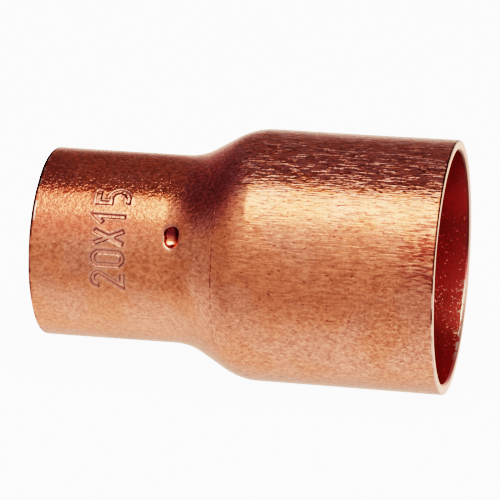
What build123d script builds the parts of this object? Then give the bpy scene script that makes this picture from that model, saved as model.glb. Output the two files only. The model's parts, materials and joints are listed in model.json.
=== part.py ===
"""Copper reducing coupling for soldered tube: a 3/4 in socket and a 1/2 in socket on one axis.

The whole fitting is one seamless piece. A length of copper tube is squeezed down at one end, both ends
are sized as tube sockets, and the tube stop and the size mark are pressed into the wall afterwards.

Millimetres. The axis lies along X, with the large socket opening towards +X and the small one towards
-X. The origin is on the axis, halfway between the two mouths.
"""

from build123d import *
from math import cos, radians, sin, tan
import os

# ---- Driving dimensions ----

# Sockets. The tubes measure 22.225 mm (7/8 in) and 15.875 mm (5/8 in) outside.
large_bore_radius = 22.33 / 2
small_bore_radius = 15.98 / 2
large_socket_depth = 19.05
small_socket_depth = 12.7

# Outside
overall_length = 39.4
large_outer_radius = 24.4 / 2
small_outer_radius = 18.3 / 2
large_knee_from_mouth = 19.66
taper_angle = 30.6

# Bend radii where the taper meets the two cylinders
large_outer_bend = 6.4
small_outer_bend = 5.9
large_inner_bend = 1.5

# Deburred mouths
mouth_rounding = 0.2
mouth_chamfer = 0.25

# Tube stop: one oval dent whose inner side stands proud at the end of the small socket
stop_from_small_mouth = 13.86
stop_angle = 25.4  # above the horizontal, on the -Y side
stop_twist = 8.5
dent_length = 2.0
dent_width = 1.28
dent_depth = 0.6
dent_rounding = 0.4
bump_length = 3.1
bump_width = 2.05
bump_top_radius = 7.35  # from the fitting's axis
bump_height = 1.1  # as drawn: its foot is buried in the wall
bump_rounding = 0.7

# Size mark, pressed into the small socket's wall. It reads upwards around the tube.
size_mark = "20X15"  # nominal sizes of the two tubes in mm
mark_from_small_mouth = 7.8
mark_angle = 22.8
mark_pitch = 12.6  # degrees from one character to the next
mark_height = 3.3
mark_width = 1.65
mark_stroke = 0.42
mark_depth = 0.16

# ---- Positions that follow from the driving dimensions ----

large_mouth = overall_length / 2
small_mouth = -overall_length / 2
taper_slope = tan(radians(taper_angle))

outer_large_knee = large_mouth - large_knee_from_mouth
outer_small_knee = outer_large_knee - (large_outer_radius - small_outer_radius) / taper_slope

# A bend's tangent point lies this many bend radii away from its knee.
tangent_share = tan(radians(taper_angle / 2))

# Both bores stay cylindrical for their full depth. The large knee sits one tangent length further in, and
# the small bend is as wide as fits between its knee and the end of the small socket.
inner_large_knee = large_mouth - large_socket_depth - large_inner_bend * tangent_share
inner_small_knee = inner_large_knee - (large_bore_radius - small_bore_radius) / taper_slope
small_inner_bend = (inner_small_knee - small_mouth - small_socket_depth) / tangent_share

cut_clearance = 1.0  # how far a cutting tool reaches past the surface it cuts


def wall_plane(from_small_mouth, angle, radius):
    """A plane facing outwards at one place on the tube wall.

    Its local x runs upwards around the tube, and its local y runs along the axis to the small mouth.
    """
    outwards = Vector(0, -cos(radians(angle)), sin(radians(angle)))
    upwards = Vector(0, sin(radians(angle)), cos(radians(angle)))
    centre = Vector(small_mouth + from_small_mouth, 0, 0) + outwards * radius
    return Plane(origin=centre, x_dir=upwards, z_dir=outwards)


def draw_character(character):
    """Draws the centre lines of one mark character, in the current line builder."""
    half_width = (mark_width - mark_stroke) / 2
    half_height = (mark_height - mark_stroke) / 2
    if character == "0":
        straight = half_height - half_width
        Line((-half_width, -straight), (-half_width, straight))
        ThreePointArc((-half_width, straight), (0, half_height), (half_width, straight))
        Line((half_width, straight), (half_width, -straight))
        ThreePointArc((half_width, -straight), (0, -half_height), (-half_width, -straight))
    elif character == "1":
        Polyline((-half_width, half_height / 2), (0, half_height), (0, -half_height))
    elif character == "2":
        shoulder = half_height - half_width
        ThreePointArc((-half_width, shoulder), (0, half_height), (half_width, shoulder))
        Polyline((half_width, shoulder), (-half_width, -half_height), (half_width, -half_height))
    elif character == "5":
        waist = 0.15 * half_height
        lobe = (half_height + waist) / 2
        Polyline((half_width, half_height), (-half_width, half_height), (-half_width, waist), (0, waist))
        ThreePointArc((0, waist), (half_width, waist - lobe), (-half_width, -half_height))
    elif character == "X":
        Line((-half_width, half_height), (half_width, -half_height))
        Line((-half_width, -half_height), (half_width, half_height))


# ---- Tools that shape the body ----

def round_inner_end(tool, plane, radius):
    """Rounds the end of a tool that points from a wall plane towards the fitting's axis."""
    fillet(tool.faces().sort_by(Axis(plane.origin, plane.z_dir))[0].edges(), radius=radius)


# The dent that the punch leaves
dent_plane = wall_plane(stop_from_small_mouth, stop_angle, small_outer_radius).rotated((0, 0, stop_twist))
with BuildPart() as dent_tool:
    with BuildSketch(dent_plane.offset(cut_clearance)):
        SlotOverall(dent_length, dent_width)
    extrude(amount=-cut_clearance - dent_depth)
    round_inner_end(dent_tool, dent_plane, dent_rounding)

# The metal that the punch moves inwards
bump_foot_radius = bump_top_radius + bump_height
bump_plane = wall_plane(stop_from_small_mouth, stop_angle, bump_foot_radius).rotated((0, 0, stop_twist))
with BuildPart() as stop_bump:
    with BuildSketch(bump_plane):
        SlotOverall(bump_length, bump_width)
    extrude(amount=-bump_height)
    round_inner_end(stop_bump, bump_plane, bump_rounding)

# The mark's strokes, cut back to a thin ring so that they are equally deep all round the tube.
with BuildPart() as mark_tool:
    for position, character in enumerate(size_mark):
        turn = (position - (len(size_mark) - 1) / 2) * mark_pitch
        mark_plane = wall_plane(mark_from_small_mouth, mark_angle + turn, small_outer_radius)
        with BuildSketch(mark_plane):
            with BuildLine():
                draw_character(character)
            trace(line_width=mark_stroke)
        extrude(amount=cut_clearance, both=True)
    with BuildSketch(Plane.YZ.offset(small_mouth + mark_from_small_mouth)):
        Circle(small_outer_radius + cut_clearance)
        Circle(small_outer_radius - mark_depth, mode=Mode.SUBTRACT)
    extrude(amount=mark_height, both=True, mode=Mode.INTERSECT)

# ---- The fitting ----

with BuildPart() as reducer_body:
    with BuildSketch(Plane.XZ):
        with BuildLine():
            outside = FilletPolyline(
                (small_mouth, small_outer_radius),
                (outer_small_knee, small_outer_radius),
                (outer_large_knee, large_outer_radius),
                (large_mouth, large_outer_radius),
                radius=(small_outer_bend, large_outer_bend),
            )
            inside = FilletPolyline(
                (small_mouth, small_bore_radius),
                (inner_small_knee, small_bore_radius),
                (inner_large_knee, large_bore_radius),
                (large_mouth, large_bore_radius),
                radius=(small_inner_bend, large_inner_bend),
            )
            Line(outside @ 0, inside @ 0)
            Line(outside @ 1, inside @ 1)
        make_face()
    revolve(axis=Axis.X)

    rims = reducer_body.edges().filter_by(GeomType.CIRCLE).group_by(Axis.X)
    mouth_edges = [rims[0].sort_by(SortBy.RADIUS), rims[-1].sort_by(SortBy.RADIUS)]
    fillet([edges[-1] for edges in mouth_edges], radius=mouth_rounding)
    chamfer([edges[0] for edges in mouth_edges], length=mouth_chamfer)

    add(stop_bump.part)
    add(dent_tool.part, mode=Mode.SUBTRACT)
    add(mark_tool.part, mode=Mode.SUBTRACT)

reducer_body.part.label = "reducer_body"

os.makedirs("parts", exist_ok=True)
export_step(reducer_body.part, "parts/reducer_body.step")
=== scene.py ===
"""Looks of the copper reducing coupling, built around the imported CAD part.

The fitting is one seamless piece, so the scene holds one piece: a fine grid wrapped round the whole wall,
outside and inside. Its outline follows the CAD body. The tube stop and the size mark are read off the CAD
body with rays and get the soft, raised edges that a punch leaves in drawn copper.

Sizes are in millimetres and become metres where they reach Blender.
"""

import json
from math import atan2, cos, pi, radians, sin, tan

import bpy
import numpy as np
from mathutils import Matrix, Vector
from mathutils.bvhtree import BVHTree


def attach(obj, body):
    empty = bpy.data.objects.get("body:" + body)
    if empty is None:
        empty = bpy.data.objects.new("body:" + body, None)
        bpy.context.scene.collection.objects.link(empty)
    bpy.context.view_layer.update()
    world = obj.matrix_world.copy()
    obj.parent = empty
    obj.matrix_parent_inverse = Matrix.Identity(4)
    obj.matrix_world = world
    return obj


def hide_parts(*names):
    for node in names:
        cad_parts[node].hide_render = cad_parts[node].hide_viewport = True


MM = 0.001  # metres in a millimetre

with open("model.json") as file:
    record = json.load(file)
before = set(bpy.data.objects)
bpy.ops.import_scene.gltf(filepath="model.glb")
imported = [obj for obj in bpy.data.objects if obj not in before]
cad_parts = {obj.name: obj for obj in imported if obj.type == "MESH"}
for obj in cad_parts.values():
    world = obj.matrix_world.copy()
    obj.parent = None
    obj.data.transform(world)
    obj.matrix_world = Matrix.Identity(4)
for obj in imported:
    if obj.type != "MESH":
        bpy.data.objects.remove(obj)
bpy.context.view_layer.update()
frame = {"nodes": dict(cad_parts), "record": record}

# ---- Sizes: read off the frame, or the same bends as the CAD body ----

body = frame["nodes"]["reducer_body"]
mounts = {mount["name"]: mount for mount in frame["record"]["mounts"]}
cad_points = np.array([vertex.co for vertex in body.data.vertices]) / MM

large_mouth = cad_points[:, 0].max()
small_mouth = cad_points[:, 0].min()
large_outer_radius = cad_points[:, 2].max()
near_small_mouth = cad_points[:, 0] < small_mouth + 3
small_outer_radius = np.hypot(cad_points[near_small_mouth, 1], cad_points[near_small_mouth, 2]).max()
large_bore_radius = mounts["large_socket"]["dims"]["r_mm"]
small_bore_radius = mounts["small_socket"]["dims"]["r_mm"]
large_socket_end = mounts["large_socket"]["pos_m"][0] / MM
small_socket_end = mounts["small_socket"]["pos_m"][0] / MM

taper_angle = radians(30.6)
outer_large_knee = 0.04
large_outer_bend = 6.4
small_outer_bend = 5.9
large_inner_bend = 1.5
rim_rounding = 0.2
mouth_chamfer = 0.25
chamfer_rounding = 0.05

tangent_share = tan(taper_angle / 2)
outer_small_knee = outer_large_knee - (large_outer_radius - small_outer_radius) / tan(taper_angle)
inner_large_knee = large_socket_end - large_inner_bend * tangent_share
inner_small_knee = inner_large_knee - (large_bore_radius - small_bore_radius) / tan(taper_angle)
small_inner_bend = (inner_small_knee - small_socket_end) / tangent_share

# ---- The grid ----

# Places that need close rows: the rims, the stamped outside of the small end, the tube stop's bump inside
# it, and the bends
rim_length = 0.45
stamped_rows = (-14.2, -4.4)
bump_rows = (-7.4, -4.2)
bend_rows = (small_socket_end, outer_large_knee + 2)
stamped_angles = (-12.0, 58.0)  # degrees above the horizontal, on the -Y side

row_spacings = {"stamped": 0.08, "bump": 0.16, "bend": 0.4, "rim": 0.05, "outside": 0.8, "inside": 1.2}
fine_angle_step = 0.5
coarse_angle_step = 2.5


def rounded_outline(corners):
    """A closed outline through corners of (x, radius, bend), with each corner turned into an arc."""
    arc_points = 24
    outline = []
    for place, (x, radius, bend) in enumerate(corners):
        corner = np.array((x, radius))
        before = np.array(corners[place - 1][:2]) - corner
        after = np.array(corners[(place + 1) % len(corners)][:2]) - corner
        before /= np.linalg.norm(before)
        after /= np.linalg.norm(after)
        half_opening = np.arccos(before @ after) / 2
        middle = (before + after) / np.linalg.norm(before + after)
        centre = corner + middle * bend / sin(half_opening)
        start = corner + before * bend / tan(half_opening) - centre
        end = corner + after * bend / tan(half_opening) - centre
        first = atan2(start[1], start[0])
        turn = (atan2(end[1], end[0]) - first + pi) % (2 * pi) - pi
        angles = first + np.linspace(0, turn, arc_points)
        outline.extend(centre + bend * np.column_stack((np.cos(angles), np.sin(angles))))
    return np.array(outline)


def row_spacing(x, outside):
    """How far apart the rows may be at one place on the outline."""
    if min(large_mouth - x, x - small_mouth) < rim_length:
        return row_spacings["rim"]
    if outside and stamped_rows[0] < x < stamped_rows[1]:
        return row_spacings["stamped"]
    if not outside and bump_rows[0] < x < bump_rows[1]:
        return row_spacings["bump"]
    if bend_rows[0] < x < bend_rows[1]:
        return row_spacings["bend"]
    return row_spacings["outside" if outside else "inside"]


def outline_rows():
    """The grid's rows: x, radius, outward direction along x and along the radius, distance along the
    outline, and whether the row is outside. They run out along the outside and back through the bore."""
    corners = [
        (small_mouth, small_outer_radius, rim_rounding),
        (outer_small_knee, small_outer_radius, small_outer_bend),
        (outer_large_knee, large_outer_radius, large_outer_bend),
        (large_mouth, large_outer_radius, rim_rounding),
        (large_mouth, large_bore_radius + mouth_chamfer, chamfer_rounding),
        (large_mouth - mouth_chamfer, large_bore_radius, chamfer_rounding),
        (inner_large_knee, large_bore_radius, large_inner_bend),
        (inner_small_knee, small_bore_radius, small_inner_bend),
        (small_mouth + mouth_chamfer, small_bore_radius, chamfer_rounding),
        (small_mouth, small_bore_radius + mouth_chamfer, chamfer_rounding),
    ]
    outline = rounded_outline(corners)
    closed = np.vstack((outline, outline[:1]))
    lengths = np.concatenate(([0], np.cumsum(np.linalg.norm(np.diff(closed, axis=0), axis=1))))

    step = 0.01
    dense = np.arange(0, lengths[-1], step)
    dense_x = np.interp(dense, lengths, closed[:, 0])
    turning_point = dense[dense_x.argmax()]
    needed = [step / row_spacing(x, along < turning_point) for x, along in zip(dense_x, dense)]
    counts = np.cumsum(needed)
    rows = int(counts[-1])
    along = np.interp(np.arange(rows) * counts[-1] / rows, counts, dense)

    x = np.interp(along, lengths, closed[:, 0])
    radius = np.interp(along, lengths, closed[:, 1])
    ahead = (along + step) % lengths[-1]
    behind = (along - step) % lengths[-1]
    run_x = np.interp(ahead, lengths, closed[:, 0]) - np.interp(behind, lengths, closed[:, 0])
    run_radius = np.interp(ahead, lengths, closed[:, 1]) - np.interp(behind, lengths, closed[:, 1])
    run = np.hypot(run_x, run_radius)
    return x, radius, -run_radius / run, run_x / run, along, along < turning_point


def column_angles():
    """The grid's columns, as angles above the horizontal on the -Y side."""
    first, last = stamped_angles
    fine = np.arange(first, last, fine_angle_step)
    coarse_count = round((360 - (last - first)) / coarse_angle_step)
    coarse = np.linspace(last, first + 360, coarse_count, endpoint=False)
    return np.radians(np.concatenate((fine, coarse)))


x, radius, out_x, out_radius, along, outside = outline_rows()
angles = column_angles()

# ---- The surface ----


def positions(height):
    """Grid points, as rows by columns by xyz, with each pushed outwards by its height."""
    rings = radius[:, None] + out_radius[:, None] * height
    along_axis = x[:, None] + out_x[:, None] * height
    return np.stack((along_axis, -rings * np.cos(angles), rings * np.sin(angles)), axis=-1)


def blurred(field, spread):
    """The field, smoothed over this many grid cells each way."""
    reach = int(3 * spread)
    weights = np.exp(-0.5 * (np.arange(-reach, reach + 1) / spread) ** 2)
    weights /= weights.sum()
    for axis in (0, 1):
        field = sum(weight * np.roll(field, shift, axis)
                    for shift, weight in zip(range(-reach, reach + 1), weights))
    return field


def share_between(values, start, end):
    """How far each value has come from start to end, from 0 to 1."""
    return np.clip((values - start) / (end - start), 0, 1)


def cad_relief():
    """How far the CAD body stands proud of the plain outline, where it holds the stop and the mark."""
    tree = BVHTree.FromPolygons(
        [vertex.co / MM for vertex in body.data.vertices],
        [tuple(polygon.vertices) for polygon in body.data.polygons],
    )
    reach = 1.5
    facet_error = 0.015
    relief = np.zeros((len(x), len(angles)))
    starts = positions(np.full(relief.shape, reach))
    ends = positions(np.zeros(relief.shape))
    stamped = outside & (x > stamped_rows[0]) & (x < stamped_rows[1])
    bumped = ~outside & (x > bump_rows[0]) & (x < bump_rows[1])
    columns = np.flatnonzero(angles < radians(stamped_angles[1]))
    for row in np.flatnonzero(stamped | bumped):
        for column in columns:
            start = Vector(starts[row, column])
            inwards = Vector(ends[row, column]) - start
            distance = tree.ray_cast(start, inwards)[3]
            if distance is not None:
                relief[row, column] = reach - distance
    return np.sign(relief) * np.maximum(np.abs(relief) - facet_error, 0)


def wobble():
    """The slight unevenness that drawing leaves in the wall, the same outside and inside."""
    oval_height = 0.025
    long_wave_height = 0.010
    short_wave_height = 0.006
    along_axis = x[:, None]
    ovalness = oval_height * np.sin(2 * angles + 0.8) * np.sin(along_axis / 9 + 1)
    long_waves = long_wave_height * np.sin(5 * angles + along_axis / 4)
    short_waves = short_wave_height * np.sin(9 * angles - along_axis / 2.3)
    side = np.where(outside, 1, -1)[:, None]
    return side * (ovalness + long_waves + short_waves)


# Each pressed shape is softened over some grid cells. That makes it shallower, so it is deepened again.
mark_depth = 0.2  # a little more than the mark's, so that what lies below it belongs to the dent
mark_softness = 0.6
mark_gain = 1.3
dent_softness = 3.2
dent_gain = 1.5
bump_softness = 0.8
lip_spread = 2.3
lip_share = 0.85  # how much of the strokes' metal is pushed up beside them
lip_shine = 0.5
floor_shine = 0.7

relief = cad_relief()
stamped = np.clip(relief, -mark_depth, 0)
soft_strokes = blurred(stamped, mark_softness)
dented = dent_gain * blurred(np.minimum(relief + mark_depth, 0), dent_softness)
bumped = blurred(np.maximum(relief, 0), bump_softness)
lips = -lip_share * blurred(stamped, lip_spread)
height = mark_gain * soft_strokes + dented + bumped + lips + wobble()

# Where the colour is darkened, on the mark's steep stroke walls and as painted shade on the dent's upper wall
# and just under its lower edge, and where it is paler, on the raised lips and the strokes' floors and as a
# painted highlight on the dent's lower wall, from 0 to 1. Slopes are in mm per grid cell.
steepness = share_between(np.hypot(*np.gradient(soft_strokes)), 0, 0.04)
slope_up_the_dent = np.gradient(dented, axis=1)
in_the_dent = share_between(-dented, 0, 0.1)
upper_wall = share_between(slope_up_the_dent, -0.0225, 0.0075) * in_the_dent
facing_up = slope_up_the_dent / slope_up_the_dent.min() * in_the_dent
# painted highlight: the part of the dent's lower wall that faces up toward the light
lower_wall = share_between(facing_up, 0.24, 0.44) * share_between(facing_up, 0.85, 0.68)
lower_edge = share_between(facing_up, 0.75, 0.90)
floors = np.clip(-stamped / mark_depth - steepness, 0, 1) * (1 - in_the_dent)
beside_strokes = share_between(lips + 4 * stamped, 0, 0.04)  # 0 in the strokes themselves
dirt = np.clip(steepness * (1 - in_the_dent) + upper_wall + lower_edge, 0, 1)
rubbed = np.clip(lip_shine * beside_strokes + floor_shine * floors + lower_wall, 0, 1)


def build_mesh():
    """The grid as a closed mesh, with a UV map unrolled round the axis and attributes for the material."""
    rows, columns = height.shape
    row, column = np.meshgrid(np.arange(rows), np.arange(columns), indexing="ij")
    corner_rows = np.stack((row, row, row + 1, row + 1), axis=-1).reshape(-1, 4)
    corner_columns = np.stack((column, column + 1, column + 1, column), axis=-1).reshape(-1, 4)
    quads = corner_rows % rows * columns + corner_columns % columns

    mesh = bpy.data.meshes.new("reducer")
    mesh.from_pydata(positions(height).reshape(-1, 3) * MM, [], quads)
    mesh.polygons.foreach_set("use_smooth", np.ones(len(quads), bool))
    inside = np.broadcast_to(~outside[:, None], height.shape).astype(float)
    for name, values in (("dirt", dirt), ("rubbed", rubbed), ("inside", inside)):
        mesh.attributes.new(name, "FLOAT", "POINT").data.foreach_set("value", values.ravel())

    across = np.append(angles, angles[0] + 2 * pi) - angles[0]
    inside_share = 0.6  # the bore needs less of the map than the outside
    steps = np.diff(np.append(along, along[-1] + along[1])) * np.where(outside, 1, inside_share)
    up = np.concatenate(([0], np.cumsum(steps)))
    uv = np.stack((across[corner_columns] / across[-1], up[corner_rows] / up[-1]), axis=-1)
    mesh.uv_layers.new(name="OFBake").data.foreach_set("uv", uv.ravel())
    mesh.update()
    return mesh


reducer = bpy.data.objects.new("reducer", build_mesh())
bpy.context.scene.collection.objects.link(reducer)
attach(reducer, "root")
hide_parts("reducer_body")

# ---- Materials ----

# Colours that the metal reflects
rosy = (0.98, 0.345, 0.22, 1)
orange = (0.98, 0.305, 0.17, 1)
# deep_orange is painted into the small end's highlight band
deep_orange = (0.98, 0.25, 0.15, 1)
dull = (0.48, 0.17, 0.12, 1)
# plum: the stain by the small mouth, and the painted shade along the large end's streaks
plum = (0.28, 0.075, 0.075, 1)
scuffed = (0.25, 0.055, 0.045, 1)
# dark: specks, the die line, the mark's steep stroke walls, and the painted shade in the dent
dark = (0.16, 0.018, 0.035, 1)
# bright: the mark's paler lips and floors, and the painted highlight on the dent's lower wall
bright = (1.0, 0.52, 0.38, 1)
# pale: the painted highlights on the steep streak sides and the dashes on top, and the bore's flecks
pale = (0.95, 0.54, 0.49, 1)
# The bore's colours are painted shade, darker and redder than the outside copper; the next two are a lighter
# and a darker copy painted where more and less light falls inside the bore
bore_red = (0.67, 0.18, 0.18, 1)
bore_painted_lighter = (0.76, 0.20, 0.195, 1)
bore_shade = (0.56, 0.145, 0.14, 1)
cut_face = (1.0, 0.55, 0.47, 1)
burr = (1.0, 0.74, 0.60, 1)
# The thin dark lines at both mouths' edges and inside the large mouth's lip
dark_line = (0.10, 0.035, 0.03, 1)

# Grains: blobs per millimetre along the axis and across it, and layers of detail
streak_grain = (0.62, 6.5, 2)
dash_grain = (0.65, 6.0, 2)
dot_grain = (4.5, 5.0, 1)
formed_grain = (3.5, 4.0, 2)
ripple_grain = (1.0, 2.2, 1)
drawn_blotch_grain = (1.0, 4.0, 4)
formed_blotch_grain = (2.3, 2.8, 5)
pit_grain = (4.2, 5.0, 1)
speck_grain = (2.2, 6.0, 1)
nick_grain = (1.1, 3.6, 3)
cloud_grain = (0.22, 0.22, 3)
patch_edge_grain = (0.9, 2.5, 2)
die_line_grain = (0.2, 1.3, 2)
bore_fleck_grain = (3.0, 4.5, 1)
burr_grain = (1.0, 1.6, 3)
small_burr_grain = (1.0, 1.2, 2)
dark_line_grain = (0.5, 0.5, 3)


class Graph:
    """Adds shader nodes to one node tree. An input is a plain value or another node's output."""

    def __init__(self, tree):
        self.tree = tree

    def node(self, kind, inputs, **settings):
        node = self.tree.nodes.new("ShaderNode" + kind)
        for name, value in settings.items():
            setattr(node, name, value)
        for key, value in inputs.items():
            self.feed(node.inputs[key], value)
        return node

    def feed(self, socket, value):
        if isinstance(value, bpy.types.NodeSocket):
            self.tree.links.new(value, socket)
        else:
            socket.default_value = value

    def math(self, operation, *values):
        return self.node("Math", dict(enumerate(values)), operation=operation).outputs[0]

    def product(self, first, *others):
        for other in others:
            first = self.math("MULTIPLY", first, other)
        return first

    def total(self, first, *others):
        for other in others:
            first = self.math("ADD", first, other)
        return first

    def difference(self, first, second):
        return self.math("SUBTRACT", first, second)

    def largest(self, first, *others):
        for other in others:
            first = self.math("MAXIMUM", first, other)
        return first

    def vector(self, operation, first, second):
        return self.node("VectorMath", {0: first, 1: second}, operation=operation).outputs[0]

    def length(self, vector):
        return self.node("VectorMath", {0: vector}, operation="LENGTH").outputs["Value"]

    def rise(self, value, start, end):
        """Goes smoothly from 0 to 1 as the value goes from start to end."""
        inputs = {"Value": value, "From Min": start, "From Max": end}
        return self.node("MapRange", inputs, interpolation_type="SMOOTHSTEP").outputs["Result"]

    def band(self, value, start, full, fading, end):
        """Goes up from 0 at start to 1 at full, and down again from 1 at fading to 0 at end."""
        return self.product(self.rise(value, start, full), self.rise(value, end, fading))

    def noise(self, place, along, across, detail):
        """Noise with this many blobs per millimetre along the axis and across it."""
        stretched = self.vector("MULTIPLY", place, (along, across, across))
        return self.node("TexNoise", {"Vector": stretched, "Scale": 1.0, "Detail": detail}).outputs["Fac"]

    def blend(self, share, first, second, how="MIX"):
        """A colour or a value between two others. Colours can also be added or multiplied."""
        if isinstance(first, tuple) or getattr(first, "type", None) in ("RGBA", "VECTOR"):
            inputs = {0: share, 6: first, 7: second}
            return self.node("Mix", inputs, data_type="RGBA", blend_type=how).outputs[2]
        return self.node("Mix", {0: share, 2: first, 3: second}).outputs[0]


class CopperSurface:
    """The copper's grain, colour and roughness, and the places on the fitting that they depend on.

    Nearly all values are shares from 0 to 1. Positions are in millimetres.
    """

    def __init__(self, graph):
        self.graph = graph
        metres = graph.node("TexCoord", {}).outputs["Object"]
        self.place = graph.vector("MULTIPLY", metres, (1 / MM,) * 3)
        parts = graph.node("SeparateXYZ", {0: self.place}).outputs
        self.x = parts["X"]
        self.y = parts["Y"]
        self.z = parts["Z"]
        self.radius = graph.length(graph.vector("MULTIPLY", self.place, (0, 1, 1)))
        self.inside = self.attribute("inside")
        self.dirt = self.attribute("dirt")
        self.rubbed = self.attribute("rubbed")

        # Zones. Drawing streaks cover the large end down to a little below its middle.
        upness = graph.math("DIVIDE", self.z, self.radius)
        self.large_end = graph.rise(self.x, -3.0, 1.5)
        self.drawn = graph.product(self.large_end, graph.rise(upness, -0.35, 0.25))
        self.lit = graph.rise(upness, 0.35, 0.60)
        self.top = graph.rise(upness, 0.66, 0.85)

        # Patches of wear and tarnish
        self.scuff = self.patch(large_mouth - 0.8, large_outer_radius, 22, 3.2, 4.4)
        self.blush = graph.largest(self.patch(12.5, large_outer_radius, 16, 6.5, 4.5),
                                   self.patch(-8.0, small_outer_radius, 7, 5.5, 3.0))
        self.peel = self.patch(large_mouth - 4.0, large_outer_radius, -15, 6.0, 8.0)
        self.stain = self.patch(small_mouth + 1.5, small_outer_radius, 66, 2.5, 3.5)

        # Grains
        self.streaks = self.noise(streak_grain)
        self.flank_glints = self.steep_flank_glints()
        self.dashes = self.worn_dashes()
        self.dots = graph.rise(self.noise(dot_grain), 0.56, 0.70)
        self.die_line = self.broken_die_line()
        self.bore_flecks = self.flecks_in_the_bore()

    def attribute(self, name):
        return self.graph.node("Attribute", {}, attribute_name=name).outputs["Fac"]

    def noise(self, grain):
        return self.graph.noise(self.place, *grain)

    def patch(self, x, radius, angle, length, width):
        """1 round one place on the wall, falling raggedly to 0 at about this length along the axis and this
        width across it. The angle is in degrees above the horizontal, on the -Y side."""
        graph = self.graph
        centre = (x, -radius * cos(radians(angle)), radius * sin(radians(angle)))
        offset = graph.vector("SUBTRACT", self.place, centre)
        distance = graph.length(graph.vector("MULTIPLY", offset, (1 / length, 1 / width, 1 / width)))
        raggedness = 1.2
        edge = 1.7
        core = 0.9
        ragged = graph.total(distance, graph.product(self.noise(patch_edge_grain), raggedness))
        return graph.rise(ragged, edge, core)

    def steep_flank_glints(self):
        """1 on the steep sides of the streaks on top, which are painted pale as a painted highlight for the
        glints these slopes would catch.
        """
        graph = self.graph
        turn = 0.005  # radians round the axis between the two places that are compared
        upwards = graph.vector("CROSS_PRODUCT", self.place, (turn, 0, 0))
        above = graph.vector("ADD", self.place, upwards)
        change = graph.difference(graph.noise(above, *streak_grain), self.streaks)
        steep = graph.rise(graph.math("ABSOLUTE", change), 0.04, 0.13)
        return graph.product(steep, self.large_end, self.top)

    def worn_dashes(self):
        """Short scratches along the axis, thicker on the ground in the scuffed patch by the mouth."""
        graph = self.graph
        thicker_in_the_scuff = graph.product(self.scuff, 0.09)
        return graph.rise(graph.total(self.noise(dash_grain), thicker_in_the_scuff), 0.57, 0.68)

    def broken_die_line(self):
        """A thin broken line across the front, where the forming die ended."""
        graph = self.graph
        line_x = -1.4
        half_width = 0.06
        away = graph.math("ABSOLUTE", graph.difference(self.x, line_x))
        ring = graph.rise(away, half_width, half_width / 2)
        pieces = graph.rise(self.noise(die_line_grain), 0.43, 0.51)
        front = self.patch(line_x, large_outer_radius, 3, 9.0, 9.0)
        return graph.product(ring, pieces, front)

    def flecks_in_the_bore(self):
        """Bright flecks, thick inside the lower lip of the large mouth and rare elsewhere in the bore."""
        graph = self.graph
        at_the_lip = self.patch(large_mouth - 0.8, large_bore_radius, 222, 1.4, 4.5)
        deeper = self.patch(large_mouth - 2.6, large_bore_radius, 215, 1.0, 2.4)
        elsewhere = 0.05
        worn = graph.largest(at_the_lip, deeper, elsewhere)
        thicker_where_worn = graph.product(worn, 0.12)
        return graph.rise(graph.total(self.noise(bore_fleck_grain), thicker_where_worn), 0.70, 0.78)

    def dark_line_edges(self):
        """Thin dark lines round the outer edges of both mouths, stronger in some places than in others."""
        graph = self.graph
        start = 0.20  # from the corner of the wall
        full = 0.12
        small_start = 0.36  # the small mouth's line is wider along the wall
        small_full = 0.24
        large = graph.product(graph.rise(self.x, large_mouth - start, large_mouth - full),
                              graph.rise(self.radius, large_outer_radius - start, large_outer_radius - full))
        small = graph.product(graph.rise(self.x, small_mouth + small_start, small_mouth + small_full),
                              graph.rise(self.radius, small_outer_radius - start, small_outer_radius - full))
        stronger_above = graph.product(self.z, 0.02)
        stronger_on_the_far_side = graph.product(graph.rise(self.y, 0.0, 4.0), 0.25)
        patchy = graph.total(self.noise(dark_line_grain), stronger_above, stronger_on_the_far_side)
        return graph.product(graph.largest(large, small), graph.rise(patchy, 0.34, 0.55))

    def height(self):
        """The surface grain in millimetres: streaks from drawing at the large end, an even grain where the
        small end was formed, and a nearly smooth bore."""
        graph = self.graph
        streak_depth = graph.total(graph.blend(self.top, 0.020, 0.027), graph.product(self.scuff, 0.035))
        dash_depth = graph.blend(self.top, 0.009, 0.015)
        ripple_depth = graph.product(graph.rise(self.x, large_mouth - 3.0, large_mouth - 0.5), 0.07)
        drawn = graph.difference(graph.product(self.streaks, streak_depth),
                                 graph.product(self.dashes, dash_depth))
        drawn = graph.total(drawn, graph.product(self.noise(ripple_grain), ripple_depth))

        grain_depth = graph.total(graph.blend(self.top, 0.022, 0.032), graph.product(self.peel, 0.03))
        dot_depth = 0.008
        formed = graph.difference(graph.product(self.noise(formed_grain), grain_depth),
                                  graph.product(self.dots, dot_depth))

        die_line_depth = 0.02
        fleck_depth = 0.02
        outer = graph.difference(graph.blend(self.drawn, formed, drawn),
                                 graph.product(self.die_line, die_line_depth))
        return graph.blend(self.inside, outer, graph.product(self.bore_flecks, -fleck_depth))

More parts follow.
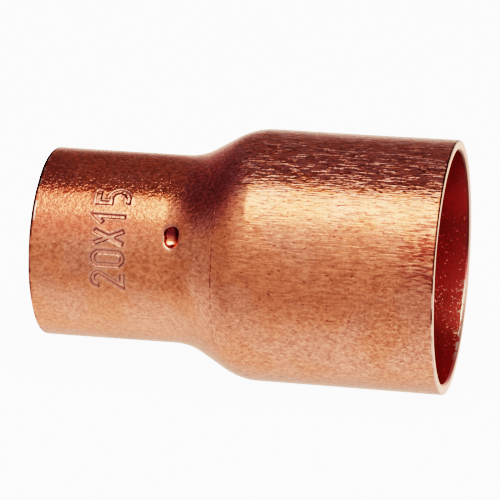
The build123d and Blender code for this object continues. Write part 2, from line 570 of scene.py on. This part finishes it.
    def mottled(self, colour):
        """The colour with darker blotches, drawn out along the axis where the streaks are, and fine pits."""
        graph = self.graph
        blotches = graph.blend(self.drawn, self.noise(formed_blotch_grain), self.noise(drawn_blotch_grain))
        sloping_level = graph.total(self.z, graph.product(self.x, 0.21))
        underside = graph.product(graph.rise(sloping_level, -2.0, -3.2), graph.rise(self.x, 1.5, -3.0))
        darkest = graph.blend(underside, 0.5, 0.64)
        darkest = graph.blend(graph.product(self.top, self.drawn), darkest, 0.36)
        darkest = graph.blend(self.peel, darkest, 0.44)
        inputs = {"Value": blotches, "From Min": 0.3, "From Max": 0.7, "To Min": 1.0, "To Max": darkest}
        shade = graph.node("MapRange", inputs).outputs["Result"]
        pit_darkness = graph.blend(self.peel, 0.22, 0.42)
        pits = graph.product(graph.rise(self.noise(pit_grain), 0.35, 0.65), pit_darkness)
        between_pits = graph.blend(self.peel, 1.11, 1.26)
        shade = graph.product(shade, graph.difference(between_pits, pits))
        return graph.node("VectorMath", {0: colour, "Scale": shade}, operation="SCALE").outputs[0]

    def outside_colour(self):
        """Rosy copper with warmer clouds and mottling and a deeper orange painted into the small end's
        highlight, under layers of scratches, tarnish, dark marks, painted shade and painted highlights.
        """
        graph = self.graph
        thicker_above = graph.product(graph.rise(self.z, -6.0, 2.0), 0.08)
        clouds = graph.rise(graph.total(self.noise(cloud_grain), thicker_above), 0.45, 0.67)
        clouds = graph.largest(clouds, self.blush)
        # A deeper orange painted into the band on the small end's upper side where the highlight falls,
        # tinting that highlight
        painted_highlight_tint = graph.product(graph.band(self.z, 2.2, 4.4, 7.0, 8.1), graph.rise(self.x, -3.0, -13.0))
        colour = graph.blend(painted_highlight_tint, graph.blend(clouds, rosy, orange), deep_orange)
        colour = self.mottled(colour)

        faint_dots = graph.product(self.dots, 0.5)
        worn = graph.blend(self.drawn, faint_dots, self.dashes)
        # Painted shade: plum laid along the drawn streaks' ridges at the large end, stronger on the dark top
        painted_streak_shade = graph.product(graph.rise(self.streaks, 0.56, 0.70), self.drawn)
        thicker_in_the_light = graph.product(self.lit, 0.05)
        specks = graph.rise(graph.total(self.noise(speck_grain), thicker_in_the_light), 0.67, 0.72)
        nicks = graph.product(self.scuff, graph.rise(self.noise(nick_grain), 0.44, 0.56))
        layers = [  # where, how strong, and the colour
            # Worn dashes in dull copper, stronger in the lit band; on the dark top they are painted pale
            # instead, as a painted highlight
            (worn, graph.blend(self.lit, 0.45, 0.9), graph.blend(self.top, dull, pale)),
            (painted_streak_shade, graph.blend(self.top, 0.35, 0.6), plum),
            # painted highlight: pale paint on the steep sides of the streaks on top
            (self.flank_glints, 0.5, pale),
            (specks, graph.blend(self.large_end, 0.3, 0.7), dark),
            (self.stain, 0.3, plum),
            (nicks, 0.9, scuffed),
            # Dark on the die line and the mark's steep stroke walls, and painted shade on the dent's upper
            # wall and lower edge
            (graph.largest(self.dirt, self.die_line), 0.9, dark),
            # Paler on the mark's raised lips and the strokes' floors, and a painted highlight on the dent's
            # lower wall
            (self.rubbed, 0.85, bright),
        ]
        for where, strength, tone in layers:
            colour = graph.blend(graph.product(where, strength), colour, tone)
        return colour

    def bore_colour(self):
        """Dark red painted darker than the outside copper as shade inside the bore, a lighter copy painted in
        the lower half and painted shade again near the bottom, with pale flecks.
        """
        graph = self.graph
        colour = graph.blend(graph.rise(self.z, -1.0, 1.5), bore_painted_lighter, bore_red)
        near_the_bottom = graph.band(self.z, -10.3, -9.0, -6.5, -5.0)
        colour = graph.blend(near_the_bottom, colour, bore_shade)
        return graph.blend(graph.product(self.bore_flecks, 0.8), colour, pale)

    def colour(self):
        """The outside and the bore, with the edges and cut faces of both mouths on top."""
        graph = self.graph
        colour = graph.blend(self.inside, self.outside_colour(), self.bore_colour())

        lip_line = graph.product(graph.rise(self.x, large_mouth - 0.36, large_mouth - 0.26), self.inside,
                                 graph.rise(self.z, -5.0, -1.0))
        raggedness = 2.0
        ragged = graph.total(self.x, graph.product(self.noise(burr_grain), raggedness))
        burrs = graph.product(graph.rise(ragged, large_mouth + 0.60, large_mouth + 0.70), self.inside,
                              graph.band(self.z, -11.0, -10.0, -6.0, -3.5))
        ring = graph.band(self.x, small_mouth + 0.24, small_mouth + 0.30, small_mouth + 0.38,
                          small_mouth + 0.44)
        small_burrs = graph.product(ring, graph.rise(self.noise(small_burr_grain), 0.50, 0.56),
                                    graph.rise(self.z, 3.0, 5.0), graph.difference(1.0, self.inside))
        start = 0.16  # from the mouth
        full = 0.06
        cut = graph.largest(graph.rise(self.x, large_mouth - start, large_mouth - full),
                            graph.rise(self.x, small_mouth + start, small_mouth + full))
        layers = [(lip_line, dark_line), (burrs, burr), (small_burrs, burr), (cut, cut_face),
                  (self.dark_line_edges(), dark_line)]
        for where, tone in layers:
            colour = graph.blend(where, colour, tone)
        return colour

    def roughness(self):
        """Smoothest at the large end, and rougher on scratches and in the bore."""
        graph = self.graph
        polished = graph.blend(self.large_end, 0.12, 0.075)
        scratched = 0.5
        in_the_bore = 0.30
        worn = graph.product(graph.blend(self.large_end, self.dots, self.dashes), 0.3)
        return graph.blend(self.inside, graph.blend(worn, polished, scratched), in_the_bore)


def copper_material():
    material = bpy.data.materials.new("copper")
    material.use_nodes = True
    graph = Graph(material.node_tree)
    surface = CopperSurface(graph)
    bump = graph.node("Bump", {"Height": surface.height(), "Distance": MM, "Strength": 1.0})
    shader = material.node_tree.nodes["Principled BSDF"]
    graph.feed(shader.inputs["Base Color"], surface.colour())
    graph.feed(shader.inputs["Metallic"], 1.0)
    graph.feed(shader.inputs["Roughness"], surface.roughness())
    graph.feed(shader.inputs["Normal"], bump.outputs["Normal"])
    return material


reducer.data.materials.append(copper_material())

# ---- Studio ----

studio = bpy.context.scene.collection


def rotation_facing(direction):
    """The rotation of a camera or lamp that points along a direction, held level."""
    return direction.to_track_quat("-Z", "Y")


def add_camera():
    azimuth = radians(12.41)
    elevation = radians(18.36)
    distance = 297.1 * MM
    aim_offset = Vector((-0.058, 0.362, 0)) * MM
    towards = Vector((sin(azimuth) * cos(elevation), -cos(azimuth) * cos(elevation), sin(elevation)))
    camera_data = bpy.data.cameras.new("camera")
    camera_data.sensor_width = 36
    camera_data.lens = 221.7
    camera_data.clip_start = 0.01
    camera_data.clip_end = 20
    camera = bpy.data.objects.new("camera", camera_data)
    camera.rotation_mode = "QUATERNION"
    camera.rotation_quaternion = rotation_facing(-towards)
    camera.location = towards * distance + camera.rotation_quaternion @ aim_offset
    studio.objects.link(camera)
    bpy.context.scene.camera = camera


def add_softbox():
    """The key light: a long warm softbox along the fitting's axis, high in front and shifted to the right."""
    elevation = radians(65.6)
    distance = 0.5
    shift_right = 0.2
    data = bpy.data.lights.new("softbox", "AREA")
    data.shape = "RECTANGLE"
    data.size = 0.69
    data.size_y = 0.245
    data.energy = 1.25
    data.color = (1.0, 0.87, 0.62)
    softbox = bpy.data.objects.new("softbox", data)
    towards = Vector((0, -cos(elevation), sin(elevation)))
    softbox.location = towards * distance + Vector((shift_right, 0, 0))
    softbox.rotation_mode = "QUATERNION"
    softbox.rotation_quaternion = rotation_facing(-towards)
    studio.objects.link(softbox)


# Brightness of the studio, at degrees from the horizon in front, up over the top and down behind
brightness_ahead = [
    (-180, 1.0), (-161, 1.3), (-146, 0.8), (-134, 0.65), (-110, 0.9), (-92, 0.95), (-74, 0.9),
    (-50, 0.75), (-37, 0.6), (-25, 0.5), (-5, 0.49), (13, 0.54), (26, 0.70), (40, 0.83), (60, 0.85),
    (77, 0.75), (84, 0.16), (109, 0.15), (133, 0.14), (160, 0.15), (172, 0.30), (179, 0.5),
]
brightness_on_the_left = [
    (-180, 0.6), (-93, 0.85), (-68, 0.7), (-55, 0.64), (-42, 0.45), (-22, 0.40), (30, 0.40), (55, 0.35),
    (76, 0.21), (90, 0.12), (105, 0.085), (131, 0.08), (151, 0.11), (163, 0.2), (172, 0.35), (178, 0.5),
]
studio_strength = 1.22
backdrop_strength = 4.0  # enough to show as white


def brightness_at(graph, degrees, stops):
    """A grey that follows stops of degrees and brightness."""
    whole_turn = graph.total(graph.math("DIVIDE", degrees, 360), 0.5)
    node = graph.node("ValToRGB", {"Fac": whole_turn})
    elements = node.color_ramp.elements
    while len(elements) < len(stops):
        elements.new(0.5)
    for element, (stop_degrees, brightness) in zip(elements, stops):
        element.position = stop_degrees / 360 + 0.5
        element.color = (brightness, brightness, brightness, 1)
    return node.outputs["Color"]


def add_world():
    """The rest of the studio, as it shows in the copper: bright floor, dimmer walls, dark ceiling.

    The camera itself sees a plain white backdrop."""
    world = bpy.data.worlds.new("studio")
    world.use_nodes = True
    world.cycles.sampling_method = "MANUAL"
    world.cycles.sample_map_resolution = 512
    graph = Graph(world.node_tree)
    direction = graph.node("SeparateXYZ", {0: graph.node("TexCoord", {}).outputs["Generated"]}).outputs
    turn = graph.math("ARCTAN2", direction["Z"], graph.product(direction["Y"], -1.0))
    degrees = graph.product(turn, 180 / pi)
    leftness = graph.rise(direction["X"], -0.3, -0.8)
    seen = graph.blend(leftness, brightness_at(graph, degrees, brightness_ahead),
                       brightness_at(graph, degrees, brightness_on_the_left))

    glow = graph.product(graph.band(degrees, 26.0, 64.0, 75.0, 83.0),
                         graph.rise(direction["X"], -0.30, -0.16))
    seen = graph.blend(glow, seen, (1.1, 0.62, 0.34, 1), how="ADD")

    ceiling = graph.rise(degrees, 80.0, 100.0)
    behind = graph.rise(graph.math("ABSOLUTE", degrees), 125.0, 155.0)
    below = graph.rise(degrees, -82.0, -118.0)
    upper_left = graph.product(leftness, graph.rise(degrees, 50.0, 75.0))
    tints = [
        (ceiling, (1.18, 1.0, 1.15, 1)),
        (behind, (1.0, 0.90, 0.76, 1)),
        (below, (1.0, 0.89, 0.78, 1)),
        (upper_left, (1.08, 1.0, 1.4, 1)),
    ]
    for where, tint in tints:
        seen = graph.blend(where, seen, tint, how="MULTIPLY")

    background = world.node_tree.nodes["Background"]
    graph.feed(background.inputs["Strength"], studio_strength)
    graph.feed(background.inputs["Color"], seen)
    backdrop = graph.node("Background", {"Color": (1, 1, 1, 1), "Strength": backdrop_strength})
    camera_ray = graph.node("LightPath", {}).outputs["Is Camera Ray"]
    both = graph.node("MixShader", {0: camera_ray, 1: background.outputs[0], 2: backdrop.outputs[0]})
    graph.feed(world.node_tree.nodes["World Output"].inputs["Surface"], both.outputs[0])
    bpy.context.scene.world = world


def add_floor():
    """A pale floor that the fitting lies on. The copper reflects the studio above it, not the floor."""
    half = 3.0
    level = -large_outer_radius * MM
    corners = [(-half, -half, level), (half, -half, level), (half, half, level), (-half, half, level)]
    mesh = bpy.data.meshes.new("floor")
    mesh.from_pydata(corners, [], [(0, 1, 2, 3)])
    floor = bpy.data.objects.new("floor", mesh)
    floor.visible_glossy = False
    studio.objects.link(floor)
    material = bpy.data.materials.new("floor")
    material.use_nodes = True
    shader = material.node_tree.nodes["Principled BSDF"]
    shader.inputs["Base Color"].default_value = (0.8, 0.8, 0.8, 1)
    shader.inputs["Roughness"].default_value = 1.0
    shader.inputs["Specular IOR Level"].default_value = 0.0
    shader.inputs["Emission Color"].default_value = (1, 1, 1, 1)
    shader.inputs["Emission Strength"].default_value = backdrop_strength
    mesh.materials.append(material)


add_camera()
add_softbox()
add_world()
add_floor()

bpy.context.scene.cycles.glossy_bounces = 8
view = bpy.context.scene.view_settings
view.view_transform = "Filmic"
view.look = "Very High Contrast"
